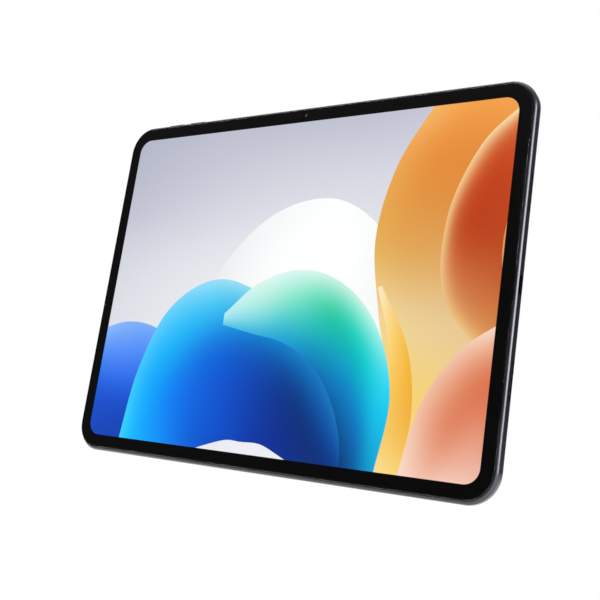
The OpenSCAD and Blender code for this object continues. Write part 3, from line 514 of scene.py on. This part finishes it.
# The picture is a generic one: plain rounded waves of colour, each a list of guide curves from edge to edge.
# Every guide point has its place in millimetres from the middle of the display, and its shade.
waves = [
    # pale sky
    {"along": 40, "across": 40, "guides": [
        [(-122, 88, "b3b5c8"), (-122, 45, "c0c1d1"), (-122, 0, "d9dae3"), (-122, -88, "e6e6ee")],
        [(-60, 88, "bbbccd"), (-60, 45, "cfcfdc"), (-60, 0, "e6e6ed"), (-60, -88, "e8e8ee")],
        [(0, 88, "bcbdcd"), (0, 45, "d8d8e2"), (0, 0, "e9e9ef"), (0, -88, "ececf2")],
        [(60, 88, "bfbfcf"), (60, 45, "d9d9e3"), (60, 0, "e4e4ea"), (60, -88, "ececf2")],
        [(122, 88, "cfcfda"), (122, 45, "d8d8e0"), (122, 0, "e4e4ea"), (122, -88, "ececf2")]]},
    # white wave behind the middle
    {"along": 90, "across": 40, "guides": [
        [(-62, -40, "e6e6ea"), (-46, 2, "eaeaee"), (-12, 36, "f4f4f6"), (30, 42, "fbfbfc"),
         (66, 14, "f4f4f5"), (84, -40, "ececee")],
        [(-62, -64, "f0f0f2"), (-34, -22, "f4f4f6"), (-2, 0, "fcfcfd"), (30, 2, "fefeff"),
         (60, -16, "f6f6f7"), (84, -60, "f0f0f0")],
        [(-62, -89, "f0f0f2"), (-30, -80, "f4f4f6"), (0, -76, "f8f8f9"), (30, -76, "f8f8f9"),
         (60, -80, "f4f4f5"), (84, -89, "f0f0f0")]]},
    # orange wave down the right-hand side
    {"along": 100, "across": 70, "guides": [
        [(78, 89, "f6b466"), (60, 58, "eaa450"), (53, 22, "e4ac54"), (60, -14, "f0d090"),
         (70, -50, "f7cf6e"), (64, -89, "f8e0a0")],
        [(100, 89, "f4a048"), (82, 56, "e38c38"), (76, 18, "e0a254"), (82, -18, "eacb92"),
         (88, -54, "f4cf78"), (80, -89, "f8dc94")],
        [(124, 89, "f4a44e"), (124, 54, "e08a40"), (124, 18, "dd9a58"), (124, -18, "e6be90"),
         (124, -54, "f0c886"), (124, -89, "f6d898")]]},
    # ember wave that rolls in from the right-hand edge
    {"along": 80, "across": 70, "guides": [
        [(124, 84, "fbe0ae"), (103, 64, "f4cf96"), (90, 30, "efc388"), (94, -8, "ebbd80"),
         (124, -38, "eac27a")],
        [(124, 72, "d0602c"), (109, 54, "c64c1c"), (98, 26, "c04e22"), (103, -4, "d07a48"),
         (124, -28, "dc9450")],
        [(124, 40, "bf4418"), (121, 34, "ba4014"), (119, 20, "ba4418"), (120, 6, "c05628"),
         (124, -8, "cc6a34")]]},
    # coral wave in the lower right corner
    {"along": 70, "across": 60, "guides": [
        [(124, -16, "f8dfd0"), (104, -30, "f2c4aa"), (88, -54, "f0bfa4"), (80, -89, "f8dccc")],
        [(124, -38, "de7650"), (112, -48, "dc7a56"), (100, -66, "e28e6e"), (92, -89, "f2c8b6")],
        [(124, -64, "e08a6c"), (118, -68, "e49a80"), (110, -78, "ecb09a"), (104, -89, "f5d0c2")],
        [(124, -89, "f0c0ae"), (121, -89, "f2c6b6"), (118, -89, "f4ccbc"), (115, -89, "f6d3c6")]]},
    # gold wave between the blue and the warm ones
    {"along": 60, "across": 24, "guides": [
        [(58, -2, "fbecc8"), (68, -30, "fbd27a"), (70, -60, "f7c860"), (60, -89, "fbe6ac")],
        [(60, -1, "fae2b0"), (78, -30, "f4b840"), (84, -60, "f0ae3c"), (80, -89, "f8d680")]]},
    # blue wave at the lower left
    {"along": 64, "across": 40, "guides": [
        [(-123, -26, "8ebbfd"), (-105, -22, "84b3fb"), (-85, -24, "78aafa"), (-60, -34, "6fa3f8")],
        [(-123, -45, "3f7ff2"), (-105, -48, "3b79f0"), (-85, -50, "3272ee"), (-55, -58, "2b66e6")],
        [(-123, -66, "0f50d0"), (-105, -68, "0e4cc8"), (-85, -70, "0d48c4"), (-52, -75, "0c42bb")],
        [(-123, -89, "0b43b6"), (-100, -89, "0a3fae"), (-75, -89, "0a3cab"), (-45, -89, "0a38a4")]]},
    # azure wave across the lower middle
    {"along": 120, "across": 70, "guides": [
        [(-96, -89, "34d4ff"), (-90, -48, "40c6fd"), (-74, -14, "6cd2fc"), (-44, 2, "98def8"),
         (-10, -6, "8ad8ec"), (30, -30, "3aa6d8"), (58, -89, "0468ac")],
        [(-84, -89, "0cb0fe"), (-76, -54, "06a4fa"), (-60, -28, "1eb0f4"), (-38, -16, "30b4ee"),
         (-8, -22, "1494d8"), (24, -44, "0668b4"), (50, -89, "003a90")],
        [(-68, -89, "0094f8"), (-60, -66, "007af0"), (-46, -48, "006ae0"), (-28, -40, "005cd0"),
         (-4, -44, "0048ac"), (18, -58, "003484"), (40, -89, "022c78")],
        [(-48, -89, "0464dc"), (-34, -84, "0050ca"), (-20, -80, "0046c0"), (-10, -80, "003cb0"),
         (2, -80, "00309c"), (14, -84, "022c90"), (26, -89, "022c84")]]},
    # mint wave that rolls over the azure one, green where it turns and navy at its foot
    {"along": 130, "across": 90, "guides": [
        [(-34, -16, "b4e8f2"), (-14, 0, "d9f5f0"), (12, 7, "dcf6ef"), (38, 0, "cbf0e4"),
         (60, -20, "b4f2e6"), (72, -52, "24d0f4"), (68, -89, "04a0d4")],
        [(-34, -18, "a4e4ee"), (-12, -9, "b4ece2"), (12, -6, "8ae4cc"), (35, -14, "38cba8"),
         (53, -33, "10c4c4"), (64, -60, "0cb8e0"), (63, -89, "0080b8")],
        [(-34, -20, "8ad8ec"), (-12, -18, "7cd6e0"), (10, -18, "4cc8c8"), (31, -28, "10a8b8"),
         (47, -46, "008cc4"), (56, -68, "0074bc"), (57, -89, "005494")],
        [(-34, -22, "58c6e6"), (-14, -26, "36b0de"), (7, -30, "189cd4"), (26, -40, "0478bc"),
         (40, -56, "005ea6"), (48, -74, "004a8c"), (50, -89, "003468")]]},
]


def paintDisplay():
    bm = bmesh.new()
    paint = bm.verts.layers.float_color.new("picture")
    depth = cellNear - display["firstLayer"]
    for wave in waves:
        grid = waveGrid(wave)
        verts = []
        for row in grid:
            verts.append([])
            for x, y, *shade in row:
                vert = bm.verts.new(place(x, y, depth))
                vert[paint] = tuple(toLinear(min(max(c, 0), 1)) for c in shade) + (1,)
                verts[-1].append(vert)
        for a, b in zip(verts, verts[1:]):
            for i in range(len(a) - 1):
                bm.faces.new((a[i], b[i], b[i + 1], a[i + 1]))
        depth -= display["layerStep"]
    # the picture stops at the panel's four sides
    for outwards in (Vector((1, 0, 0)), Vector((0, 0, 1))):
        for corner, normal in ((panelLow, -outwards), (panelHigh, outwards)):
            bmesh.ops.bisect_plane(bm, geom=bm.verts[:] + bm.edges[:] + bm.faces[:], plane_co=corner,
                                   plane_no=normal, clear_outer=True)
    bmesh.ops.dissolve_degenerate(bm, edges=bm.edges[:], dist=display["shortestEdge"])
    for face in bm.faces:
        face.normal_update()
        if face.normal.y > 0:
            face.normal_flip()
    mesh = bpy.data.meshes.new("display_picture")
    bm.to_mesh(mesh)
    bm.free()
    print("picture:", len(waves), "layers,", len(mesh.polygons), "faces, nearest depth", round(depth, 3))
    return mesh


picture = newPiece("display_picture", paintDisplay(), "tablet")
dress(picture, litPicture())


# The painted glow of the paper fades between two distances, counted in glowReach, which is in metres along X
# and Y.
paperSweep = {"reach": 3.0, "segments": 24, "gap": 0.00005, "tone": "d8d8d8", "roughness": 0.9,
              "toothScale": 900.0, "toothDetail": 2.0, "toothStrength": 0.2, "toothDepth": 0.00002,
              "paintedGlow": 1.4, "glowReach": (0.17, 0.09), "glowFade": (0.8, 2.0), "seenStrength": 1.0}


def studioFloor():
    # matt white paper sweep with a faint tooth; the paper itself emits a painted pool of light around the
    # tablet, which lights it from below; seen directly it is plain white, and what the tablet mirrors of it
    # fades out with distance
    material, tree = blank("paper_sweep_matt")
    where = add(tree, "ShaderNodeTexCoord").outputs["Object"]
    tooth = add(tree, "ShaderNodeTexNoise", {
        "Vector": where, "Scale": paperSweep["toothScale"], "Detail": paperSweep["toothDetail"]})
    bump = add(tree, "ShaderNodeBump", {
        "Height": tooth.outputs["Fac"], "Strength": paperSweep["toothStrength"],
        "Distance": paperSweep["toothDepth"]})
    reachX, reachY = paperSweep["glowReach"]
    table = add(tree, "ShaderNodeMapping", {"Vector": where, "Scale": (1 / reachX, 1 / reachY, 1.0)})
    away = add(tree, "ShaderNodeVectorMath", {0: table.outputs[0]}, operation="LENGTH")
    # painted glow: the paper emits light of its own, strongest under the tablet and gone further out
    paintedGlow = add(tree, "ShaderNodeMapRange", {
        "Value": away.outputs["Value"], "From Min": paperSweep["glowFade"][0],
        "From Max": paperSweep["glowFade"][1], "To Min": paperSweep["paintedGlow"], "To Max": 0.0},
        interpolation_type="SMOOTHSTEP")
    paper = add(tree, "ShaderNodeBsdfPrincipled", {
        "Base Color": colour(paperSweep["tone"]), "Roughness": paperSweep["roughness"],
        "Normal": bump.outputs[0], "Emission Color": colour("ffffff"), "Emission Strength": paintedGlow.outputs[0]})
    white = add(tree, "ShaderNodeEmission", {
        "Color": colour("ffffff"), "Strength": paperSweep["seenStrength"]})
    seen = add(tree, "ShaderNodeLightPath").outputs["Is Camera Ray"]
    finishWith(tree, add(tree, "ShaderNodeMixShader", {0: seen, 1: paper.outputs[0], 2: white.outputs[0]}))
    bm = bmesh.new()
    bmesh.ops.create_grid(bm, x_segments=paperSweep["segments"], y_segments=paperSweep["segments"],
                          size=paperSweep["reach"])
    mesh = bpy.data.meshes.new("studio_floor")
    bm.to_mesh(mesh)
    bm.free()
    floor = bpy.data.objects.new("studio_floor", mesh)
    floor.location.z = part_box("rear_housing")[0].z - paperSweep["gap"]
    bpy.context.scene.collection.objects.link(floor)
    dress(floor, material)


# The room brightens between two heights of view, given as the upward part of a direction.
room = {"low": 0.17, "high": 0.9, "heights": (0.2, 0.9), "seenStrength": 1.0}


def studioWorld():
    # white behind the object; what lights it and shows in it is a dim room under a soft bright ceiling
    world = bpy.data.worlds.new("studio")
    bpy.context.scene.world = world
    world.use_nodes = True
    tree = world.node_tree
    tree.nodes.clear()
    direction = add(tree, "ShaderNodeTexCoord").outputs["Generated"]
    height = add(tree, "ShaderNodeSeparateXYZ", {0: direction})
    rise = add(tree, "ShaderNodeMapRange", {
        "Value": height.outputs["Z"], "From Min": room["heights"][0], "From Max": room["heights"][1],
        "To Min": room["low"], "To Max": room["high"]}, interpolation_type="SMOOTHSTEP")
    walls = add(tree, "ShaderNodeBackground", {"Color": colour("ffffff"), "Strength": rise.outputs[0]})
    paper = add(tree, "ShaderNodeBackground", {
        "Color": colour("ffffff"), "Strength": room["seenStrength"]})
    seen = add(tree, "ShaderNodeLightPath").outputs["Is Camera Ray"]
    both = add(tree, "ShaderNodeMixShader", {0: seen, 1: walls.outputs[0], 2: paper.outputs[0]})
    add(tree, "ShaderNodeOutputWorld", {"Surface": both.outputs[0]})


# Each lamp's place, and its size across and up, are in metres, and its power is in watts. All of them
# aim at the middle of the tablet.
lamps = {
    "strip_right": {"place": (1.24, -0.40, 0.36), "size": (0.5, 1.1), "power": 24},
    "ceiling": {"place": (-0.3, -0.2, 1.6), "size": (1.6, 1.6), "power": 14},
    "back_fill": {"place": (-0.5, 1.3, 0.9), "size": (1.2, 0.9), "power": 10},
}


def hangLamps():
    for name, lamp in lamps.items():
        data = bpy.data.lights.new(name, "AREA")
        data.shape = "RECTANGLE"
        data.size, data.size_y = lamp["size"]
        data.energy = lamp["power"]
        body = bpy.data.objects.new(name, data)
        body.location = lamp["place"]
        aim = Vector((0, 0, middleZ)) - body.location
        body.rotation_euler = aim.to_track_quat("-Z", "Y").to_euler()
        bpy.context.scene.collection.objects.link(body)


# The camera stands low at the front right and looks up and to the left, leaning a little.
# Its place is in metres, its turns are in degrees, and its lens and sensor in millimetres.
viewer = {"place": (0.3100, -0.3806, 0.0012), "heading": 38.05, "rise": 11.36, "lean": 8.49,
          "lens": 59.68, "sensor": 36, "nearest": 0.001, "shiftAcross": -0.0079, "shiftUp": -0.0393}


def setCamera():
    data = bpy.data.cameras.new("viewer")
    data.lens = viewer["lens"]
    data.sensor_width = viewer["sensor"]
    data.shift_x = viewer["shiftAcross"]
    data.shift_y = viewer["shiftUp"]
    data.clip_start = viewer["nearest"]
    body = bpy.data.objects.new("viewer", data)
    turn = (Matrix.Rotation(math.radians(viewer["heading"]), 4, "Z")
            @ Matrix.Rotation(math.radians(90 + viewer["rise"]), 4, "X")
            @ Matrix.Rotation(math.radians(viewer["lean"]), 4, "Z"))
    body.matrix_world = Matrix.Translation(viewer["place"]) @ turn
    bpy.context.scene.collection.objects.link(body)
    bpy.context.scene.camera = body


studioFloor()
studioWorld()
hangLamps()
setCamera()
bpy.context.scene.view_settings.view_transform = "Standard"
print("studio: floor, world,", len(lamps), "lamps and the camera")
